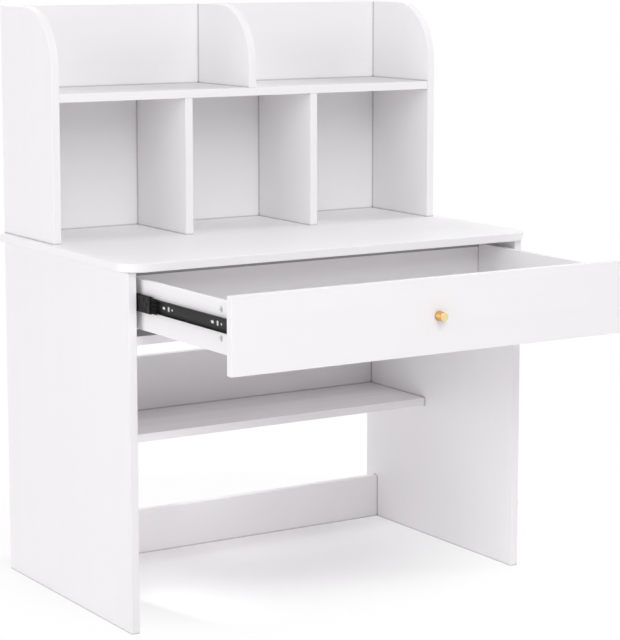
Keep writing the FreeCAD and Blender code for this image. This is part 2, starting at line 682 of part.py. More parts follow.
def member_slots():
    """The groups of a round hole, an upright slot and a long slot for adjusting the drawer."""
    rise = (TALL_SLOT_H - TALL_SLOT_W) / 2
    run = (LONG_SLOT_L - LONG_SLOT_W) / 2
    slots = []
    for group in MEMBER_HOLE_GROUPS:
        first = drawer_member_front_y() + group
        slots.append(punched_hole(ROUND_HOLE_R, first, 0))
        slots.append(web_slot(first + TALL_SLOT_STEP, TALL_SLOT_W / 2, 0, rise))
        slots.append(web_slot(first + LONG_SLOT_STEP, LONG_SLOT_W / 2, run, 0))
    return slots


def punched_hole(radius, y, v):
    return Part.makeCylinder(radius, 2 * STEEL, section_point(SLIDE_T - 2 * STEEL, v, y), X)


def web_slot(y, radius, half_y, half_v):
    """A round-ended slot whose end centres lie half_y along the web or half_v up it from the middle."""
    ends = [punched_hole(radius, y + side * half_y, side * half_v) for side in (-1, 1)]
    reach_y, reach_v = (radius, half_v) if half_v else (half_y, radius)
    low = section_point(SLIDE_T - 2 * STEEL, -reach_v, y - reach_y)
    middle = Part.makeBox(2 * STEEL, 2 * reach_y, 2 * reach_v, low)
    return middle.multiFuse(ends)


def member_screws():
    """Screws that hold the drawer member to the drawer side, in the long slot of each group."""
    first = drawer_member_front_y() + LONG_SLOT_STEP
    return [Screw(section_point(SLIDE_T - STEEL, 0, first + group), X, SLIDE_SCREW_R, SLIDE_SCREW_HEAD_R,
                  STEEL, MEMBER_SCREW_L) for group in MEMBER_HOLE_GROUPS]


def cabinet_screws():
    """Screws that hold the cabinet member to the side panel."""
    return [Screw(section_point(STEEL, 0, SLIDE_FRONT_Y + y), X * -1, SLIDE_SCREW_R, SLIDE_SCREW_HEAD_R,
                  STEEL, CABINET_SCREW_L) for y in CABINET_SCREW_Y]


def ball_rows(y0, length, centre, radius, margin):
    """Balls in an upper and a lower row, spread evenly along a cage."""
    pitch = (length - 2 * margin) / (BALLS_PER_ROW - 1)
    spots = [section_point(centre[0], side * centre[1], y0 + margin + index * pitch)
             for side in (1, -1) for index in range(BALLS_PER_ROW)]
    return [Part.makeSphere(radius, spot) for spot in spots]


def cage(y0, length, web_u, edge_u, centre, ball_r, balls):
    """A pressed cage: a thin web with an upper and a lower ledge, notched round each ball."""
    top = centre[1] + CAGE_STEEL / 2
    low = section_point(web_u, -top, y0)
    web = Part.makeBox(CAGE_STEEL, length, 2 * top, low)
    starts = [section_point(web_u, side * centre[1] - CAGE_STEEL / 2, y0) for side in (1, -1)]
    ledges = [Part.makeBox(edge_u - web_u, length, CAGE_STEEL, start) for start in starts]
    body = web.multiFuse(ledges).removeSplitter()
    hole_r = ball_r + BALL_HOLE_CLEAR
    middles = [ball.BoundBox.Center for ball in balls]
    holes = [Part.makeCylinder(hole_r, 2 * hole_r, middle - Z * hole_r, Z) for middle in middles]
    return cut(body, holes)


def outer_cage():
    """Cage and balls between the cabinet member and the runner, which follow at half its travel."""
    y0 = OUTER_CAGE_Y - RUNNER_OUT / 2
    margin = OUTER_BALL_R * 4
    balls = ball_rows(y0, OUTER_CAGE_L, OUTER_BALL, OUTER_BALL_R, margin)
    web_u = STEEL + CAGE_CLEAR
    edge_u = OUTER_BALL[0] + OUTER_RACE_R - CAGE_STOP
    return cage(y0, OUTER_CAGE_L, web_u, edge_u, OUTER_BALL, OUTER_BALL_R, balls), balls


def inner_cage():
    """Cage and balls between the runner and the drawer member, with spread fingers in front."""
    travel = DRAWER_OUT - RUNNER_OUT
    y0 = INNER_CAGE_Y - RUNNER_OUT - travel / 2
    centre = inner_ball_centre()
    margin = CAGE_FINGER_L + INNER_BALL_R * 4
    balls = ball_rows(y0, INNER_CAGE_L, centre, INNER_BALL_R, margin)
    web_u = RUNNER_WEB_U + RUNNER_STEEL / 2 + CAGE_CLEAR
    edge_u = INNER_BALL_U + INNER_RACE_R - CAGE_STOP
    body = cage(y0, INNER_CAGE_L, web_u, edge_u, centre, INNER_BALL_R, balls)
    pitch = 2 * centre[1] / CAGE_FINGERS
    heights = [index * pitch - centre[1] - CAGE_SLIT / 2 for index in range(1, CAGE_FINGERS)]
    slits = [Part.makeBox(CAGE_STEEL * 2, CAGE_FINGER_L, CAGE_SLIT,
                          section_point(web_u - CAGE_STEEL / 2, height, y0)) for height in heights]
    return cut(body, slits), balls


# ---------------------------------------------------------------- what is written out

def fitting_solids(left_fittings):
    """The cams and the bolts of these fittings and of their mirror images."""
    cams = both_sides([fitting.cam() for fitting in left_fittings])
    bolts = both_sides([fitting.bolt() for fitting in left_fittings])
    return cams, bolts


def dowel_solids(dowels):
    return [dowel.solid() for dowel in dowels]


def screw_solids(screws):
    return [screw.solid() for screw in screws]


def carcass_nodes():
    desk = TOP_FITTINGS + SHELF_FITTINGS + MODESTY_FITTINGS + STRETCHER_FITTINGS + RAIL_FITTINGS
    cams, bolts = fitting_solids(desk)
    dowels = both_sides(dowel_solids(SHELF_DOWELS + MODESTY_DOWELS + STRETCHER_DOWELS + RAIL_DOWELS))
    panel = side_panel()
    return {
        "left_side_panel": [panel],
        "right_side_panel": [mirrored(panel)],
        "desktop": [desktop()],
        "lower_shelf": [lower_shelf()],
        "modesty_panel": [modesty_panel()],
        "rear_stretcher": [rear_stretcher()],
        "drawer_rail": [drawer_rail()],
        "desk_cams": cams,
        "desk_cam_bolts": bolts,
        "desk_dowels": dowels,
    }


def hutch_nodes():
    cams, bolts = fitting_solids(HUTCH_SHELF_FITTINGS + HUTCH_BACK_FITTINGS)
    dowels = both_sides(dowel_solids(HUTCH_SHELF_DOWELS + HUTCH_FOOT_DOWELS))
    dowels += dowel_solids(upper_divider_dowels() + lower_divider_dowels())
    side = hutch_side()
    nodes = {
        "hutch_left_side": [side],
        "hutch_right_side": [mirrored(side)],
        "hutch_back": [hutch_back()],
        "hutch_shelf": [hutch_shelf()],
        "hutch_upper_divider": [hutch_upper_divider()],
        "hutch_cams": cams,
        "hutch_cam_bolts": bolts,
        "hutch_dowels": dowels,
        "hutch_screws": screw_solids(hutch_screws()),
    }
    for index in range(1, LOWER_BAYS):
        nodes["hutch_lower_divider_%d" % index] = [hutch_lower_divider(index)]
    return nodes


def drawer_nodes():
    cams, bolts = fitting_solids(drawer_fittings())
    side = drawer_side()
    return {
        "drawer_front": [drawer_front()],
        "drawer_left_side": [side],
        "drawer_right_side": [mirrored(side)],
        "drawer_back": [drawer_back()],
        "drawer_bottom": [drawer_bottom()],
        "drawer_cams": cams,
        "drawer_cam_bolts": bolts,
        "drawer_back_screws": both_sides(screw_solids(back_screws())),
        "knob": [knob()],
        "knob_screw": [knob_screw()],
    }


def slide_nodes():
    outer, outer_balls = outer_cage()
    inner, inner_balls = inner_cage()
    pairs = {
        "slide_cabinet_member": cabinet_member(),
        "slide_runner": runner(),
        "slide_drawer_member": drawer_member(),
        "slide_outer_cage": outer,
        "slide_inner_cage": inner,
    }
    nodes = {}
    for name, solid in pairs.items():
        nodes["left_" + name] = [solid]
        nodes["right_" + name] = [mirrored(solid)]
    nodes["slide_outer_balls"] = both_sides(outer_balls)
    nodes["slide_inner_balls"] = both_sides(inner_balls)
    nodes["slide_cabinet_screws"] = both_sides(screw_solids(cabinet_screws()))
    nodes["slide_drawer_screws"] = both_sides(screw_solids(member_screws()))
    return nodes


def export(name, solids):
    """Write one node, moved so that the origin is under the middle of the whole desk."""
    shape = solids[0] if len(solids) == 1 else Part.makeCompound(solids)
    moved = shape.translated(Vector(0, -ORIGIN_Y, 0))
    moved.exportStep("parts/%s.step" % name)
    return moved.BoundBox


def main():
    nodes = {**carcass_nodes(), **hutch_nodes(), **drawer_nodes(), **slide_nodes()}
    whole = FreeCAD.BoundBox()
    for name, solids in nodes.items():
        whole.add(export(name, solids))
    size = (whole.XLength, whole.YLength, whole.ZLength)
    print("%d nodes, size %.1f x %.1f x %.1f mm" % (len(nodes), *size))


main()
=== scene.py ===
# %% [markdown]
# # A white student desk with a hutch
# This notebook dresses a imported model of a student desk: white laminated boards, a wide drawer
# drawn out on black ball-bearing slides, and a small brass knob. The boards of the model already
# have their real shape, so most of the work is in their surface, their edges and the light.
# Lengths are in metres, and in millimetres where a piece is turned or punched. X runs to the
# sitter's right, Y to the rear and Z up from the floor.

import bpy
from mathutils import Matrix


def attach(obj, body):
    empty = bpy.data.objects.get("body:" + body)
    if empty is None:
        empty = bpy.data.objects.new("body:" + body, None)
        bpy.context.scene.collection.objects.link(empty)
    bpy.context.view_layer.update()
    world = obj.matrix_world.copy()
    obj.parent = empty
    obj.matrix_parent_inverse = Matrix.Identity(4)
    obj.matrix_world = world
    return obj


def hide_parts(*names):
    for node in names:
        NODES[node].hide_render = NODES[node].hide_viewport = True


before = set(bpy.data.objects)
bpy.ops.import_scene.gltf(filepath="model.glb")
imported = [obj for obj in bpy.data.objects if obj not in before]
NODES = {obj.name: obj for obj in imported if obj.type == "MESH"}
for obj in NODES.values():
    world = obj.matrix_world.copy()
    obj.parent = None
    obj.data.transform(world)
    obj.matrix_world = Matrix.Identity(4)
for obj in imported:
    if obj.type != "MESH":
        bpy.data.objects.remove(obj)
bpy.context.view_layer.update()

import math

import bpy
import numpy as np
from mathutils import Vector

# %% [markdown]
# ## The camera
# A large piece of furniture is best shown from four or five metres away with a long lens, so that
# its uprights stay nearly parallel. The camera stands to the left of the desk, a little above its
# top, and looks down by eight degrees. A small vertical shift puts the desk in the middle of the
# frame without tipping the camera further, as a view camera does.

# %% Place the camera
FRAME_H = 640            # the taller side of the frame, in pixels
FOCAL_PX = 2212.8        # the focal length, in the same pixels
AXIS_ROW = 260           # the row of pixels that the lens points at
CAMERA_PLACE = (-2.4736, -3.9258, 1.3491)
CAMERA_YAW = 0.56168     # radians to the right
CAMERA_DOWN = 0.13611    # radians
FAR_CLIP = 60

camera = bpy.data.objects.new("camera", bpy.data.cameras.new("camera"))
bpy.context.collection.objects.link(camera)
camera.location = CAMERA_PLACE
camera.rotation_euler = (math.pi / 2 - CAMERA_DOWN, 0, -CAMERA_YAW)
camera.data.lens = FOCAL_PX / FRAME_H * camera.data.sensor_width
camera.data.shift_y = (AXIS_ROW - FRAME_H / 2) / FRAME_H
camera.data.clip_end = FAR_CLIP
bpy.context.scene.camera = camera
print("lens %.1f mm, shift %.3f" % (camera.data.lens, camera.data.shift_y))

# %% [markdown]
# ## The white world
# The desk stands in a white studio, as it would for a catalogue. Seen directly, or mirrored in
# metal or glass, the world is plain white. As light on the desk it is much weaker, so that the
# lamps can leave soft shade in the hollows. White screens could be hung all round, but a Light Path
# node tells the two kinds of ray apart and keeps the scene empty. Worlds and finishes are both
# networks of nodes, so one helper starts them all.

# %% Make the world
WORLD_FILL = 0.35
WORLD_TINT = (1, 0.99, 1, 1)
WHITE = (1, 1, 1, 1)

scene = bpy.context.scene
scene.view_settings.view_transform = "Standard"


def new_nodes(owner):
    """Empty the network of a material or a world. Gives add, which puts in a node and sets its
    properties, and link, which joins an output to an input."""
    owner.use_nodes = True
    tree = owner.node_tree
    tree.nodes.clear()

    def add(kind, **settings):
        node = tree.nodes.new("ShaderNode" + kind)
        for name, value in settings.items():
            setattr(node, name, value)
        return node

    return add, tree.links.new


def studio_world():
    """White to the camera, to mirrors and to glass, and a plain fill light to everything else."""
    world = bpy.data.worlds.new("studio")
    scene.world = world
    add, link = new_nodes(world)
    rays, out = add("LightPath"), add("OutputWorld")
    seen, seen_glass = add("Math", operation="MAXIMUM"), add("Math", operation="MAXIMUM")
    white, dim, mix = add("Background"), add("Background"), add("MixShader")
    white.inputs["Color"].default_value = WHITE
    dim.inputs["Color"].default_value = WORLD_TINT
    dim.inputs["Strength"].default_value = WORLD_FILL
    link(rays.outputs["Is Camera Ray"], seen.inputs[0])
    link(rays.outputs["Is Glossy Ray"], seen.inputs[1])
    link(seen.outputs[0], seen_glass.inputs[0])
    link(rays.outputs["Is Transmission Ray"], seen_glass.inputs[1])
    link(seen_glass.outputs[0], mix.inputs[0])
    link(dim.outputs[0], mix.inputs[1])
    link(white.outputs[0], mix.inputs[2])
    link(mix.outputs[0], out.inputs["Surface"])


studio_world()
print("world fill", WORLD_FILL)

# %% [markdown]
# ## The lamps
# Four broad lamps stand five metres from the desk, in front of it, behind it and on either side, so
# every shadow is soft and the hollows under the shelves fall into gentle shade. Two small and very
# weak ones stand in the knee space, low inside the left panel and over the stretcher, for the light
# that white boards and a white floor throw back there. They keep clear of the boards, because a
# lamp that reached through a board would light both of its faces.

# %% Set the lamps
LAMP_AIM = Vector((0, 0, 0.7))
LAMP_AWAY = 5.0
# degrees to the left of the front, degrees above level, side and watts
LAMPS = {
    "lamp_front": (15, 36, 3.2, 106),
    "lamp_left": (85, 12, 3.6, 78),
    "lamp_right": (270, 35, 3.2, 104),
    "lamp_rear": (180, 40, 3.2, 70),
}
# place, aim, side and watts
FILLS = {
    "fill_under_desk": (Vector((-0.35, 0.0, 0.16)), Vector((0.45, 0.2, 0.2)), 0.25, 0.44),
    "fill_over_stretcher": (Vector((-0.10, 0.39, 0.245)), Vector((0.48, 0.38, 0.235)), 0.10, 0.11),
}


def square_lamp(name, place, aim, side, watts):
    """A square lamp that the camera can't see, turned from its place to its aim."""
    lamp = bpy.data.lights.new(name, "AREA")
    lamp.shape, lamp.size, lamp.energy = "SQUARE", side, watts
    holder = bpy.data.objects.new(name, lamp)
    bpy.context.collection.objects.link(holder)
    holder.location = place
    holder.rotation_euler = (aim - place).to_track_quat("-Z", "Y").to_euler()
    holder.visible_camera = False
    print(name, [round(value, 2) for value in place], "%.2f W" % watts)


def soft_lamp(name, turn, rise, side, watts):
    """A lamp on a sphere round the desk: turn degrees left of its front, rise above level."""
    turn, rise = math.radians(turn), math.radians(rise)
    flat = math.cos(rise)
    outward = Vector((-math.sin(turn) * flat, -math.cos(turn) * flat, math.sin(rise)))
    square_lamp(name, LAMP_AIM + outward * LAMP_AWAY, LAMP_AIM, side, watts)


for lamp_name, setting in LAMPS.items():
    soft_lamp(lamp_name, *setting)
for lamp_name, setting in FILLS.items():
    square_lamp(lamp_name, *setting)

# %% [markdown]
# ## The floor
# A studio floor is a white sweep without an end. This one is a plain matt sheet that keeps the
# desk's shadow. Seen directly or mirrored, it blends into the world's white, so no horizon shows:
# further and further away from the deepest shade under the desk, and sooner behind the desk, where
# the rear lamp falls. A bent sweep of mesh would work too, but it would show from behind.

# %% Lay the floor
FLOOR_HALF = 12.0
FLOOR_WHITE = (0.955, 0.94545, 0.955, 1)
SHADE_AT = (0.05, 0.40, 0.0)     # the middle of the deepest shade
SHADE_FADE = (0.15, 0.80)        # from here to there the white takes over
SHADE_GLOW = 0.05                # how much of the white is in the deepest shade
BEHIND = (0.46, 0.60)            # from the rear panel to clear of it
BEHIND_GLOW = 0.92


def mapped(add, start, end, low, high, **settings):
    """A node that turns start..end into low..high, and holds low and high outside."""
    node = add("MapRange", **settings)
    node.inputs["From Min"].default_value, node.inputs["From Max"].default_value = start, end
    node.inputs["To Min"].default_value, node.inputs["To Max"].default_value = low, high
    return node


def floor_finish():
    """A matt floor mixed with the world's white. The share of white is the greater of two: one
    grows with the distance from SHADE_AT, the other with Y from BEHIND's start to its end."""
    material = bpy.data.materials.new("studio_floor")
    add, link = new_nodes(material)
    matt, glow = add("BsdfDiffuse"), add("Emission")
    mix, out = add("MixShader"), add("OutputMaterial")
    rays, seen = add("LightPath"), add("Math", operation="MAXIMUM")
    place, away = add("TexCoord").outputs["Object"], add("VectorMath", operation="DISTANCE")
    parts = add("SeparateXYZ")
    fade = mapped(add, *SHADE_FADE, SHADE_GLOW, 1.0, interpolation_type="SMOOTHSTEP")
    behind = mapped(add, *BEHIND, 0.0, BEHIND_GLOW, interpolation_type="SMOOTHSTEP")
    most, share = add("Math", operation="MAXIMUM"), add("Math", operation="MULTIPLY")
    matt.inputs["Color"].default_value = FLOOR_WHITE
    away.inputs[1].default_value = SHADE_AT
    link(place, parts.inputs[0])
    link(parts.outputs["Y"], behind.inputs["Value"])
    link(place, away.inputs[0])
    link(away.outputs["Value"], fade.inputs["Value"])
    link(rays.outputs["Is Camera Ray"], seen.inputs[0])
    link(rays.outputs["Is Glossy Ray"], seen.inputs[1])
    link(seen.outputs[0], share.inputs[0])
    link(fade.outputs[0], most.inputs[0])
    link(behind.outputs[0], most.inputs[1])
    link(most.outputs[0], share.inputs[1])
    link(share.outputs[0], mix.inputs[0])
    link(matt.outputs[0], mix.inputs[1])
    link(glow.outputs[0], mix.inputs[2])
    link(mix.outputs[0], out.inputs["Surface"])
    return material


floor_mesh = bpy.data.meshes.new("floor")
corners = [(x * FLOOR_HALF, y * FLOOR_HALF, 0) for x, y in ((-1, -1), (1, -1), (1, 1), (-1, 1))]
floor_mesh.from_pydata(corners, [], [(0, 1, 2, 3)])
floor_mesh.materials.append(floor_finish())
floor = bpy.data.objects.new("floor", floor_mesh)
bpy.context.collection.objects.link(floor)
print("floor", 2 * FLOOR_HALF, "m square")

# %% [markdown]
# ## Gaps between boards, and painted shade in corners
# Where two boards meet, the hair-thin gap between them shows as a fine dark line. It could be cut
# into the mesh, but an Ambient Occlusion node with a reach of a few millimetres finds every such
# corner by itself and darkens the colour there. This darkening is partly that dark line and partly
# painted shade, because it falls in every inside corner within its reach, and it leaves the rest of
# the board alone.

# %% Draw the gap lines and the painted corner shade
# painted shade: the tone below darkens every corner within the reach, not only the joints
CORNER_SHADE_REACH = 0.0055          # how far the node looks for another board
GAP_OPEN = (0.45, 0.86)     # how open a corner is at a gap, and clear of it
CORNER_SHADE_TONE = 0.45


def toned(add, link, colour, tone):
    """The colour times a tone: 1 leaves it as it is and 0 makes it black."""
    node = add("VectorMath", operation="SCALE")
    link(colour, node.inputs[0])
    link(tone, node.inputs["Scale"])
    return node.outputs[0]


def joint_lines_and_corner_shade(add, link, colour):
    """The colour times a tone that falls to its lowest in corners narrower than the reach: the dark
    line of a joint, and painted shade in every such corner.
    """
    corner, tone = add("AmbientOcclusion", samples=6), mapped(add, *GAP_OPEN, CORNER_SHADE_TONE, 1.0)
    corner.inputs["Distance"].default_value = CORNER_SHADE_REACH
    link(corner.outputs["AO"], tone.inputs["Value"])
    return toned(add, link, colour, tone.outputs[0])


print("gap lines reach %.1f mm" % (CORNER_SHADE_REACH * 1000))

# %% [markdown]
# ## Painted shade on top faces
# The tops of the two long shelves lie in the shade of the boards round them, and that shade is
# painted into their colour, so they are greyer than the front edges. The faces could be picked out
# in the mesh, but their height does it as well: the tone sets in a hair below the top, where
# nothing but the top face reaches. The same step paints the deep shade on the rail that the drawer
# passes over.

# %% Paint shade on the top faces
TOP_SKIN = 0.0003


def painted_top_shade(add, link, place, colour, top, tone):
    """The colour, times the tone where the board reaches the height of its top: painted shade on
    the top face.
    """
    parts, step = add("SeparateXYZ"), mapped(add, top - TOP_SKIN, top, 1.0, tone)
    link(place, parts.inputs[0])
    link(parts.outputs["Z"], step.inputs["Value"])
    return toned(add, link, colour, step.outputs[0])


print("a top face is %.1f mm deep" % (TOP_SKIN * 1000))

# %% [markdown]
# ## Noises, colours and surfaces
# Every finish here is built from the same three things: a noise, two colours that it moves between,
# and a shader that takes the colour, the gloss and the relief. A node group could hold them too,
# but every value that differs from one finish to the next would need a socket of its own. A plain
# function takes such a value as an argument.

# %% Prepare noises, colours and surfaces


def noise(add, scale, detail):
    """A noise of that many changes in a metre, with finer ones down to its detail."""
    node = add("TexNoise")
    node.inputs["Scale"].default_value, node.inputs["Detail"].default_value = scale, detail
    return node


def two_colours(add, first, second, start, end):
    """A ramp from the first colour, at start, to the second, at end."""
    node = add("ValToRGB")
    for stop, place, colour in zip(node.color_ramp.elements, (start, end), (first, second)):
        stop.position, stop.color = place, (*colour, 1)
    return node


def lay_surface(add, link, colour, rough, normal, shine, metallic=0.0):
    """Join a colour, a roughness and a normal to the surface of a material."""
    shader, out = add("BsdfPrincipled"), add("OutputMaterial")
    shader.inputs["Specular IOR Level"].default_value = shine
    shader.inputs["Metallic"].default_value = metallic
    link(colour, shader.inputs["Base Color"])
    link(rough, shader.inputs["Roughness"])
    link(normal, shader.inputs["Normal"])
    link(shader.outputs[0], out.inputs["Surface"])


print("helpers:", noise.__name__, two_colours.__name__, lay_surface.__name__)

# %% [markdown]
# ## White laminated board
# Melamine-faced board is never a single flat white. The printed paper under the resin has a hardly
# visible grain along the board, the resin has a fine orange-peel skin, and handling leaves places
# a little duller than others. Three noises do this: a long stretched one for the grain, a fine one
# for the skin and a broad one for the gloss. They read Object coordinates, so they stay in place
# on every board, and a Mapping node turns the grain along the board's length.

# %% Make the board finish
BOARD_WHITE = (0.950, 0.939, 0.949)
BOARD_GRAIN = (0.940, 0.929, 0.939)
STREAKS_ACROSS, STREAKS_ALONG = 38.0, 1.6     # in a metre of board
STREAK_DETAIL, STREAK_STOPS = 6.0, (0.35, 0.65)
PEEL_SCALE, PEEL_DETAIL, PEEL_DEPTH = 900.0, 2.0, 0.0004
DULL_SCALE, DULL_DETAIL, DULL_SPREAD = 7.0, 3.0, 0.06
BOARD_SHINE = 0.12


def board_finish(name, grain_axis, white=BOARD_WHITE, grain=BOARD_GRAIN, gloss=0.42, skin=0.05,
                 corner_shade=True, top=None):
    """Laminated board whose grain runs along an axis: 0 for X, 1 for Y and 2 for Z. skin is the
    strength of the relief. The switch after skin adds the joint lines with their painted corner
    shade, and top holds the height and the tone of the painted shade on a top face."""
    material = bpy.data.materials.new(name)
    add, link = new_nodes(material)
    place, stretch = add("TexCoord").outputs["Object"], add("Mapping")
    scale = [STREAKS_ACROSS] * 3
    scale[grain_axis] = STREAKS_ALONG
    stretch.inputs["Scale"].default_value = scale
    streaks, peel = noise(add, 1.0, STREAK_DETAIL), noise(add, PEEL_SCALE, PEEL_DETAIL)
    dull = noise(add, DULL_SCALE, DULL_DETAIL)
    colours = two_colours(add, grain, white, *STREAK_STOPS)
    rough = mapped(add, 0.0, 1.0, gloss - DULL_SPREAD, gloss + DULL_SPREAD)
    relief, bump = add("Math", operation="ADD"), add("Bump")
    bump.inputs["Strength"].default_value = skin
    bump.inputs["Distance"].default_value = PEEL_DEPTH
    link(place, stretch.inputs["Vector"])
    link(stretch.outputs[0], streaks.inputs["Vector"])
    link(place, peel.inputs["Vector"])
    link(place, dull.inputs["Vector"])
    link(streaks.outputs[0], colours.inputs[0])
    link(dull.outputs[0], rough.inputs["Value"])
    link(peel.outputs[0], relief.inputs[0])
    link(streaks.outputs[0], relief.inputs[1])
    link(relief.outputs[0], bump.inputs["Height"])
    # painted shade in narrow corners, together with the dark joint lines
    face = joint_lines_and_corner_shade(add, link, colours.outputs[0]) if corner_shade else colours.outputs[0]
    # painted shade on the top face
    if top:
        face = painted_top_shade(add, link, place, face, *top)
    lay_surface(add, link, face, rough.outputs[0], bump.outputs[0], BOARD_SHINE)
    return material


ALONG_X = board_finish("white_board_along_x", 0)
UPRIGHT = board_finish("white_board_upright", 2)
print(ALONG_X.name, "and", UPRIGHT.name)

# %% [markdown]
# ### Which board takes which finish
# A maker cuts every board with the grain along its longer side. So the lying boards take the finish
# along X and the panels the upright one. The lower shelf shows more of its grain than the others.
# It, the hutch shelf and the rail under the drawer have a finish of their own, for the painted
# shade on their top faces.

# %% Dress the boards
SHELF_WHITE = (0.960, 0.940, 0.952)
SHELF_GRAIN = (0.915, 0.888, 0.902)
# heights of the top faces and the tones of their painted shade
LOWER_SHELF_TOP, LOWER_SHELF_SHADE = 0.326, 0.83
HUTCH_SHELF_TOP, HUTCH_SHELF_SHADE = 1.0665, 0.85
RAIL_TOP, RAIL_SHADE = 0.602, 0.38


def dress(material, *names):
    """Give each named CAD node one material in all its slots."""
    for name in names:
        mesh = NODES[name].data
        if not mesh.materials:
            mesh.materials.append(material)
        for index in range(len(mesh.materials)):
            mesh.materials[index] = material
    print(material.name, "on", ", ".join(names))


dress(ALONG_X, "desktop", "modesty_panel", "rear_stretcher", "hutch_back", "drawer_front")
dress(UPRIGHT, "left_side_panel", "right_side_panel", "hutch_left_side", "hutch_right_side",
      "hutch_upper_divider", "hutch_lower_divider_1", "hutch_lower_divider_2")
dress(board_finish("lower_shelf_board", 0, SHELF_WHITE, SHELF_GRAIN,
                   top=(LOWER_SHELF_TOP, LOWER_SHELF_SHADE)), "lower_shelf")
dress(board_finish("hutch_shelf_board", 0, top=(HUTCH_SHELF_TOP, HUTCH_SHELF_SHADE)), "hutch_shelf")
dress(board_finish("drawer_rail_board", 0, top=(RAIL_TOP, RAIL_SHADE)), "drawer_rail")

# %% [markdown]
# ### The drawer box
# The drawer box is thinner board in the same white, with the grain of its sides from front to back,
# and the bottom is hardboard with a lacquered face, a little greyer and duller. The sides go
# without the gap lines and their painted corner shade, which would draw a dark halo round the
# slides that lie close against them. The drawer's back is a few millimetres lower than its sides on
# the real desk, and the space behind it lies in deep shade under the desktop. A thin dark line of
# painted shade along the top of the back stands for that shade.

# %% Dress the drawer box
BOTTOM_WHITE = (0.80, 0.785, 0.798)
BOTTOM_GRAIN = (0.77, 0.756, 0.768)
# painted shade: the top of the drawer's back is darkened to this tone
BACK_TOP, BACK_TOP_SHADE = 0.7115, 0.42

dress(board_finish("drawer_board_along_y", 1, corner_shade=False), "drawer_left_side", "drawer_right_side")
dress(board_finish("drawer_board_along_x", 0, top=(BACK_TOP, BACK_TOP_SHADE)), "drawer_back")
dress(board_finish("drawer_bottom_board", 0, BOTTOM_WHITE, BOTTOM_GRAIN, gloss=0.55, skin=0.09),
      "drawer_bottom")

# %% [markdown]
# ## Rolled strip
# The slides are steel strip under a thin black coat, scuffed and greasy on the flat web. They look
# darkest along the edges, where the strip is rolled over towards the balls and little light gets
# in. The lamps give some of this shade by themselves, and the finish paints the rest as painted
# shade: it measures how far a point is above or below the middle of the slide, which is level and
# the same on both sides.

# %% Paint shade on the rolled edges
MM = 0.001
SLIDE_Z = 674.0          # height of the middle of the slides, in millimetres
EDGE_BLEND = 0.0015
# the tone of the painted shade on the rolled edges
EDGE_SHADE_TONE = 0.2


def painted_edge_shade(add, link, place, colour, half):
    """The colour, times the tone of painted shade where a point is further than half from the
    slides' middle.
    """
    parts, level = add("SeparateXYZ"), add("Math", operation="SUBTRACT")
    level.inputs[1].default_value = SLIDE_Z * MM
    away = add("Math", operation="ABSOLUTE")
    tone = mapped(add, half, half + EDGE_BLEND, 1.0, EDGE_SHADE_TONE)
    link(place, parts.inputs[0])
    link(parts.outputs["Z"], level.inputs[0])
    link(level.outputs[0], away.inputs[0])
    link(away.outputs[0], tone.inputs["Value"])
    return toned(add, link, colour, tone.outputs[0])


print("the slides' middle is at %.3f m" % (SLIDE_Z * MM))

# %% [markdown]
# ## Metal and bare wood
# The cams are dull cast zinc, the screws bright plated steel, the balls polished, the knob brass
# and the dowels bare beech. None is even: a metal dulls where it is touched, and a coat is thinner
# in places. So one noise wanders between two colours, moves the gloss with them and raises a fine
# relief, and one function makes them all. A painted pattern of wear would have to be fitted to
# every one of these small pieces, and this one fits them all as it stands.

# %% Make a worn finish
WEAR_STOPS, WEAR_DETAIL, WEAR_SPREAD = (0.42, 0.72), 5.0, 0.07
WEAR_RELIEF = 0.25


def worn(name, colour, worn_colour, rough, metallic, scale, stretch=(1, 1, 1), depth=0.00005,
         shine=0.5, rolled=None):
    """A finish whose colour and gloss wander between two looks, with a fine relief. rolled is
    half the height of the flat web, beyond which the edges take painted shade."""
    material = bpy.data.materials.new(name)
    add, link = new_nodes(material)
    place, turn = add("TexCoord").outputs["Object"], add("Mapping")
    turn.inputs["Scale"].default_value = stretch
    wear = noise(add, scale, WEAR_DETAIL)
    colours = two_colours(add, colour, worn_colour, *WEAR_STOPS)
    gloss = mapped(add, 0.0, 1.0, rough - WEAR_SPREAD, rough + WEAR_SPREAD)
    bump = add("Bump")
    bump.inputs["Strength"].default_value = WEAR_RELIEF
    bump.inputs["Distance"].default_value = depth
    link(place, turn.inputs["Vector"])
    link(turn.outputs[0], wear.inputs["Vector"])
    link(wear.outputs[0], colours.inputs[0])
    link(wear.outputs[0], gloss.inputs["Value"])
    link(wear.outputs[0], bump.inputs["Height"])
    face = colours.outputs[0]
    if rolled:
        face = painted_edge_shade(add, link, place, face, rolled)
    lay_surface(add, link, face, gloss.outputs[0], bump.outputs[0], shine, metallic)
    return material


print("a worn finish wanders from %.2f to %.2f of its noise" % WEAR_STOPS)

# %% [markdown]
# ### The metals and the beech
# The first colour of each is the sound surface, and the second is the worn one: paler on black
# steel, where the coat has gone, and darker on zinc and brass, where they have dulled. A coated
# strip is not a bare metal to the light, so it is not metallic, and neither is wood. The brass of
# the barrel is stretched along its axis, because it was turned.

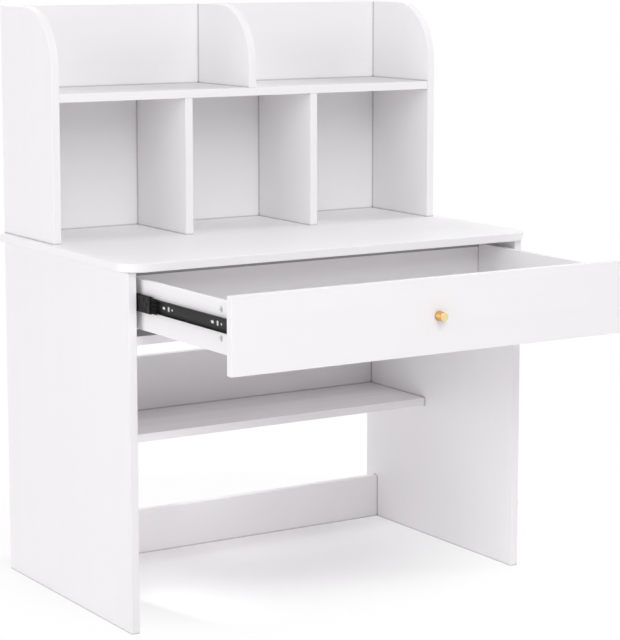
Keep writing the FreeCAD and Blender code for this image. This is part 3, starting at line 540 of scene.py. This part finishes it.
# %% Make the metals and the beech
SLIDE_BLACK = worn("slide_black", (0.025, 0.0245, 0.025), (0.040, 0.0395, 0.040), rough=0.44,
                   metallic=0.0, scale=60.0, stretch=(1, 0.1, 1), shine=0.12, rolled=0.0108)
RUNNER_BLACK = worn("runner_black", (0.003, 0.003, 0.003), (0.055, 0.054, 0.055), rough=0.44,
                    metallic=0.0, scale=170.0, stretch=(1, 1, 0.5), shine=0.10, rolled=0.0148)
CAGE_BLACK = worn("cage_black", (0.002, 0.002, 0.002), (0.010, 0.010, 0.010), rough=0.50,
                  metallic=0.0, scale=90.0, shine=0.05)
CAM_ZINC = worn("cam_zinc", (0.80, 0.80, 0.81), (0.40, 0.40, 0.41), rough=0.45, metallic=0.55,
                scale=420.0)
SCREW_ZINC = worn("screw_zinc", (0.88, 0.88, 0.89), (0.78, 0.78, 0.80), rough=0.32, metallic=0.8,
                  scale=700.0)
BALL_STEEL = worn("ball_steel", (0.70, 0.70, 0.72), (0.62, 0.62, 0.64), rough=0.14, metallic=1.0,
                  scale=400.0)
# painted light: the near-white rim steel stands for the lit board that shows through the punched
# holes
SLOT_RIM_PAINTED_LIGHT = worn("slot_rim_painted_light", (0.95, 0.95, 0.95), (0.88, 0.88, 0.89), rough=0.50, metallic=0.3,
                  scale=900.0)
# painted reflection: one brass in two tones, darker and deeper gold on the barrel, paler on the
# face
BRASS_PAINTED_DARK = worn("knob_brass_painted_dark", (0.80, 0.47, 0.16), (0.72, 0.40, 0.12), rough=0.30, metallic=1.0,
             scale=300.0, stretch=(1, 6, 1), depth=0.00002)
BRASS_PAINTED_PALE = worn("knob_face_brass_painted_pale", (0.90, 0.72, 0.38), (0.85, 0.65, 0.31), rough=0.24,
                  metallic=1.0, scale=260.0, depth=0.00002)
BEECH = worn("dowel_beech", (0.60, 0.42, 0.24), (0.48, 0.31, 0.16), rough=0.60, metallic=0.0,
             scale=240.0, stretch=(0.2, 1, 1), depth=0.0001)
print(len(bpy.data.materials), "materials so far")

# %% [markdown]
# ### Which fitting takes which metal
# The left and right slides are alike: cabinet member and runner in the scuffed black, the drawer's
# member in the smoother one, and the pressed cages nearly pure black between them. The fittings
# that join the boards are mostly hidden, but they show once the desk is taken apart.

# %% Dress the fittings
for slide in ("left_slide_", "right_slide_"):
    dress(RUNNER_BLACK, slide + "cabinet_member", slide + "runner")
    dress(SLIDE_BLACK, slide + "drawer_member")
    dress(CAGE_BLACK, slide + "outer_cage", slide + "inner_cage")
dress(BALL_STEEL, "slide_outer_balls", "slide_inner_balls")
dress(CAM_ZINC, "desk_cams", "hutch_cams", "drawer_cams")
dress(SCREW_ZINC, "desk_cam_bolts", "hutch_cam_bolts", "drawer_cam_bolts", "knob_screw")
dress(BEECH, "desk_dowels", "hutch_dowels")

# %% [markdown]
# ## Turned pieces
# A knob and a screw are both turned on an axis, so both can be rings of points with a profile for
# their radius. The rings are joined by four-sided faces, and a fan of triangles closes each end, so
# nothing is left open. Blender's Spin tool turns a profile too, but grids of numbers leave room for
# a hollow in the head and a thread that climbs.

# %% Turn a profile
RING = 72
ANGLE = np.linspace(0, 2 * np.pi, RING, endpoint=False)


def turning(heights, radii, sink):
    """Rings of RING points: ring k has radius radii[k] at height heights[k] along the axis, and
    its angle runs once round. Then sink(x, y, z) pushes each point along the axis."""
    x, y = np.outer(radii, np.cos(ANGLE)), np.outer(radii, np.sin(ANGLE))
    z = np.repeat(np.asarray(heights, float)[:, None], RING, axis=1)
    return np.stack([x, y, z + sink(x, y, z)], axis=-1)


def closed_faces(rows):
    """Quads between neighbouring rings and a fan to the pole point at either end."""
    index = np.arange(rows * RING).reshape(rows, RING)
    turn = np.roll(index, -1, axis=1)
    quads = np.stack([index[:-1], turn[:-1], turn[1:], index[1:]], axis=-1).reshape(-1, 4)
    first, last = np.full(RING, rows * RING), np.full(RING, rows * RING + 1)
    fans = np.concatenate([np.stack([first, turn[0], index[0]], 1),
                           np.stack([index[-1], turn[-1], last], 1)])
    return quads, fans


print("rings of", RING, "points")

# %% [markdown]
# ### A piece on its body
# A new piece has to move with what it is fixed to, so it rides on the desk or on the drawer. Where
# it is a finer version of a piece in the model, it stands in for that one, which is hidden. It is
# built where it belongs and its object is never moved, because a pattern on Object coordinates
# would slide if it were.

# %% Put a piece on its body


def new_piece(name, points, faces, materials, body, slot, node=None):
    """A piece from points in millimetres, with the materials given. It rides on a body and stands
    in for a CAD node if one is named. slot is not used."""
    mesh = bpy.data.meshes.new(name)
    mesh.from_pydata((points * MM).tolist(), [], faces)
    for material in materials:
        mesh.materials.append(material)
    piece = bpy.data.objects.new(name, mesh)
    bpy.context.collection.objects.link(piece)
    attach(piece, body)
    if node:
        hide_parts(node)
    print(name, len(points), "points,", len(faces), "faces")
    return mesh


print("helper:", new_piece.__name__)

# %% [markdown]
# ### One turning in many places
# A turning is worked out once, in its own axes, and then set in every place where the desk has one,
# as a block of numbers, which is quicker than copying objects. All its copies are one piece, as a
# bag of screws is one line in a parts list.

# %% Set a turning in its places
UP, REAR = np.array([0.0, 0.0, 1.0]), np.array([0.0, 1.0, 0.0])
NEARLY_UPRIGHT = 0.9


def set_turnings(name, rings, first_pole, last_pole, places, materials, body, slot, node,
                 second_from=None):
    """Copies of one turning as a single smooth piece. places holds (foot, axis) pairs: a point
    (x, y, z) of the turning goes to foot + x * across + y * up + z * axis, with across, up and
    axis at right angles. The faces from ring second_from onwards take the second material."""
    points = np.concatenate([rings.reshape(-1, 3), [first_pole, last_pole]])
    quads, fans = closed_faces(len(rings))
    all_points, all_faces = [], []
    for foot, axis in places:
        up = UP if abs(axis[2]) < NEARLY_UPRIGHT else REAR
        start = len(all_points) * len(points)
        all_faces += (quads + start).tolist() + (fans + start).tolist()
        all_points.append(np.array(foot) + points @ np.array([np.cross(up, axis), up, axis]))
    mesh = new_piece(name, np.concatenate(all_points), all_faces, materials, body, slot, node)
    mesh.polygons.foreach_set("use_smooth", np.ones(len(mesh.polygons), dtype=bool))
    if second_from is not None:
        ring_of = np.concatenate([np.arange(len(quads)) // RING, np.zeros(RING),
                                  np.full(RING, len(rings))])
        second = np.tile((ring_of >= second_from).astype(np.int32), len(places))
        mesh.polygons.foreach_set("material_index", second)


print("helper:", set_turnings.__name__)

# %% [markdown]
# ### The knob
# The knob is turned from brass bar: a short neck, a barrel cut with fine rings for the fingers, and
# a plain face, very slightly dished by the tool. The rings are real grooves and not a bump, so that
# their walls reflect each other. The piece has two finishes of the one brass, and the difference is
# painted reflection: the barrel is painted darker and of a deeper gold, and the face paler, as each
# looks with what it mirrors.

# %% Turn the knob
KNOB_FOOT = (0.0, -465.0, 658.0)
KNOB_R, KNOB_L, KNOB_NECK_R = 9.0, 20.0, 6.5
BARREL_START, BARREL_END = 3.9, 18.21
RIB_PITCH, RIB_DEPTH, RIB_STEPS = 1.1, 0.42, 4
FACE_R, FACE_RINGS, DISH = 8.25, 14, 0.16
PAINTED_PALE_RIM_RINGS = 2          # the innermost rings of the rim take the face's paler finish, which is painted reflection


def knob_profile():
    """Neck, shoulder, ribbed barrel, rim and dished face, as distances out and radii.

    On the barrel the radius is KNOB_R less RIB_DEPTH times a triangle wave of RIB_PITCH. The face
    is a shallow bowl: DISH deep in the middle, less by the square of the radius."""
    neck = np.array([[0.0, 5.9], [0.05, 6.4], [0.3, KNOB_NECK_R], [2.2, KNOB_NECK_R], [2.45, 6.7],
                     [2.55, 7.9], [2.75, 8.5], [3.3, KNOB_R], [3.8, KNOB_R]])
    out = np.arange(BARREL_START, BARREL_END, RIB_PITCH / RIB_STEPS)
    wave = np.abs((out - out[0]) / RIB_PITCH % 1.0 * 2 - 1)
    barrel = np.stack([out, KNOB_R - RIB_DEPTH * (1 - wave)], axis=1)
    rim = np.array([[18.6, KNOB_R], [19.2, KNOB_R], [19.45, 8.93], [19.75, 8.68], [19.93, 8.45]])
    face_r = np.linspace(FACE_R, 0.4, FACE_RINGS)
    face = np.stack([KNOB_L - DISH * (1 - (face_r / FACE_R) ** 2), face_r], axis=1)
    return np.concatenate([neck, barrel, rim, face])


profile = knob_profile()
knob_rings = turning(profile[:, 0], profile[:, 1], lambda x, y, z: 0.0)
set_turnings("turned_knob", knob_rings, (0, 0, 0), (0, 0, KNOB_L - DISH),
             [(KNOB_FOOT, (0, -1, 0))], [BRASS_PAINTED_DARK, BRASS_PAINTED_PALE], "drawer", "brass", "knob",
             second_from=len(profile) - FACE_RINGS - PAINTED_PALE_RIM_RINGS)

# %% [markdown]
# ### Screws
# All the screws are cross-headed and countersunk. A screw is one turning that starts in the middle
# of the head, where a cross-shaped hollow is pushed in, and runs over the rim, down the cone and
# along a threaded shank to the point. The thread is a ripple of the radius that climbs one pitch
# for every turn. One function makes the small slide screws and the long ones of the hutch.

# %% Cut the screws
HEAD_RINGS = 15
PIN = 0.12                 # radius of the smallest ring, next to a pole
EDGE = 0.15                # from the last ring of the face to the head's edge
CROSS = (0.62, 0.30, 0.8)  # its arm and width to the head's radius, its depth to the head's height
CROSS_SOFT, CROSS_TAPER = 0.25, 1.6
THREAD_STEPS, THREAD_DEPTH = 6, 0.264
THREAD_GAP, POINT = 0.4, 2.0     # bare shank under the cone, and length of the point
ON_FACE = 0.01             # points no deeper than this are on the face of the head


def cross_hollow(arm, width, depth):
    """How far a head is pushed in at (x, y): by depth inside a cross of that arm and width, and
    by less and less towards the ends of its arms."""
    def inside(half, away):
        return np.clip((half - np.abs(away)) / CROSS_SOFT + 0.5, 0, 1)

    def hollow(x, y, z):
        bar = inside(width / 2, y) * inside(arm, x)
        post = inside(width / 2, x) * inside(arm, y)
        reach = np.clip(1 - np.hypot(x, y) / (arm * CROSS_TAPER), 0, 1)
        return np.where(z < ON_FACE, depth * np.maximum(bar, post) * reach, 0)

    return hollow


def screw(head_r, head_h, shank_r, length, pitch):
    """A countersunk screw: head face, cone, threaded shank and point, and its two poles.

    On the shank the radius is shank_r less THREAD_DEPTH times one minus the square of a triangle
    wave, which climbs by one pitch in one turn."""
    arm, width, depth = np.array(CROSS) * (head_r, head_r, head_h)
    face_r = np.linspace(PIN, head_r - EDGE, HEAD_RINGS)
    cone = np.array([[0.12, head_r], [0.35, head_r - 0.02], [head_h, shank_r]])
    steps = int((length - head_h) / pitch * THREAD_STEPS)
    thread_z = np.linspace(head_h + THREAD_GAP, length - POINT, steps)
    tip = np.array([[length - 0.9, shank_r * 0.5], [length - 0.15, PIN]])
    heights = np.concatenate([np.zeros(HEAD_RINGS), cone[:, 0], thread_z, tip[:, 0]])
    radii = np.concatenate([face_r, cone[:, 1], np.full(steps, shank_r), tip[:, 1]])
    rings = turning(heights, radii, cross_hollow(arm, width, depth))
    thread = rings[-steps - len(tip):-len(tip)]
    climb = (thread[..., 2] / pitch - ANGLE / (2 * np.pi)) % 1.0
    groove = THREAD_DEPTH * (1 - (climb * 2 - 1) ** 2)
    thread[..., :2] *= (1 - groove / shank_r)[..., None]
    return rings, (0, 0, depth), (0, 0, length)


SLIDE_SCREW = screw(head_r=3.2, head_h=1.2, shank_r=1.6, length=10.5, pitch=1.3)
CABINET_SCREW = screw(head_r=3.2, head_h=1.2, shank_r=1.6, length=14.0, pitch=1.3)
CORNER_SCREW = screw(head_r=3.4, head_h=1.9, shank_r=1.7, length=35.0, pitch=1.8)
HUTCH_SCREW = screw(head_r=4.2, head_h=3.0, shank_r=2.1, length=45.0, pitch=2.2)
print("screws of", [cut[2][2] for cut in (SLIDE_SCREW, CABINET_SCREW, CORNER_SCREW, HUTCH_SCREW)])

# %% [markdown]
# ### Where the screws go
# The drawer's slide members and its corners are screwed from outside, and the cabinet's slide
# members from inside into the side panels, alike on the left and the right. The hutch is held from
# below, by three screws into its back and two into each lower divider.

# %% Set the screws
INWARDS, OUTWARDS = -1, 1
SLIDE_SCREW_X, SLIDE_SCREW_Y = 455.5, (-376.5, -186.5, -21.5)
CABINET_SCREW_X, CABINET_SCREW_Y = 465.8, (-38.0, 154.0, 346.0)
CORNER_SCREW_X, CORNER_SCREW_Y, CORNER_SCREW_Z = 454.0, 9.0, (646.0, 700.0)
HUTCH_SCREW_Z, HUTCH_BACK_Y, DIVIDER_Y = 735.0, 474.0, (289.0, 409.0)
HUTCH_BACK_X, DIVIDER_X = (-380.0, 0.0, 380.0), (-158.67, 158.67)


def both_sides(x, way, spots):
    """Places for screws x left and right of the middle, at (y, z) spots, that point one way."""
    return [((side * x, y, z), (side * way, 0, 0)) for side in (-1, 1) for y, z in spots]


set_turnings("drawer_slide_screws", *SLIDE_SCREW,
             both_sides(SLIDE_SCREW_X, INWARDS, [(y, SLIDE_Z) for y in SLIDE_SCREW_Y]),
             [SCREW_ZINC], "drawer", "screw_steel", "slide_drawer_screws")
set_turnings("cabinet_slide_screws", *CABINET_SCREW,
             both_sides(CABINET_SCREW_X, OUTWARDS, [(y, SLIDE_Z) for y in CABINET_SCREW_Y]),
             [SCREW_ZINC], "desk", "screw_steel", "slide_cabinet_screws")
set_turnings("drawer_corner_screws", *CORNER_SCREW,
             both_sides(CORNER_SCREW_X, INWARDS, [(CORNER_SCREW_Y, z) for z in CORNER_SCREW_Z]),
             [SCREW_ZINC], "drawer", "screw_steel", "drawer_back_screws")
hutch_spots = [(x, HUTCH_BACK_Y) for x in HUTCH_BACK_X]
hutch_spots += [(x, y) for x in DIVIDER_X for y in DIVIDER_Y]
set_turnings("hutch_foot_screws", *HUTCH_SCREW,
             [((x, y, HUTCH_SCREW_Z), (0, 0, 1)) for x, y in hutch_spots],
             [SCREW_ZINC], "desk", "screw_steel", "hutch_screws")

# %% [markdown]
# ### Punched slots
# The drawer member of each slide has three groups of punched holes, and their walls are lined with
# near-white steel. Its brightness is painted light: it stands for the lit white board of the drawer
# side that shows through the holes. Each lining is a thin band: a flat profile carried once round
# the outline of its slot.

# %% Line the punched slots
WEB_OUT, WEB_IN = 455.48, 454.32     # the two faces of the strip, from the middle of the desk
RIM_T, RIM_STEPS = 0.6, 64
GROUP_Y = (-410.0, -220.0, -55.0)
# how far behind the group's start, radius, and how far the halves are moved apart in Y and in Z
SLOT_KINDS = ((0.0, 2.5, 0.0, 0.0), (14.0, 3.25, 0.0, 1.75), (33.5, 2.5, 3.0, 0.0))


def slot_rim(side, y, radius, half_y, half_z):
    """Points on a grid of RIM_STEPS round the slot by the 4 corners of the band's profile.

    Round the slot: a circle of the radius whose two halves are moved half_y or half_z apart."""
    angle = (np.arange(RIM_STEPS) + 0.5) / RIM_STEPS * 2 * np.pi
    cos, sin = np.cos(angle), np.sin(angle)
    radii = np.array([radius, radius - RIM_T, radius - RIM_T, radius])
    grid = np.empty((RIM_STEPS, 4, 3))
    grid[..., 0] = side * np.array([WEB_OUT, WEB_OUT, WEB_IN, WEB_IN])
    grid[..., 1] = y + np.outer(cos, radii) + np.sign(cos)[:, None] * half_y
    grid[..., 2] = SLIDE_Z + np.outer(sin, radii) + np.sign(sin)[:, None] * half_z
    return grid[:, ::-1] if side > 0 else grid


def slot_rims(side, name):
    """All nine rims of one slide in a mesh; each grid is closed both ways."""
    grids = np.stack([slot_rim(side, group + step, radius, half_y, half_z)
                      for group in GROUP_Y for step, radius, half_y, half_z in SLOT_KINDS])
    index = np.arange(RIM_STEPS * 4).reshape(RIM_STEPS, 4)
    on, across = np.roll(index, -1, 0), np.roll(index, -1, 1)
    quads = np.stack([index, across, np.roll(on, -1, 1), on], axis=-1).reshape(-1, 4)
    faces = quads[None] + np.arange(len(grids))[:, None, None] * index.size
    new_piece(name, grids.reshape(-1, 3), faces.reshape(-1, 4).tolist(), [SLOT_RIM_PAINTED_LIGHT], "drawer",
              "screw_steel")


slot_rims(-1, "left_slide_slot_rims")
slot_rims(1, "right_slide_slot_rims")
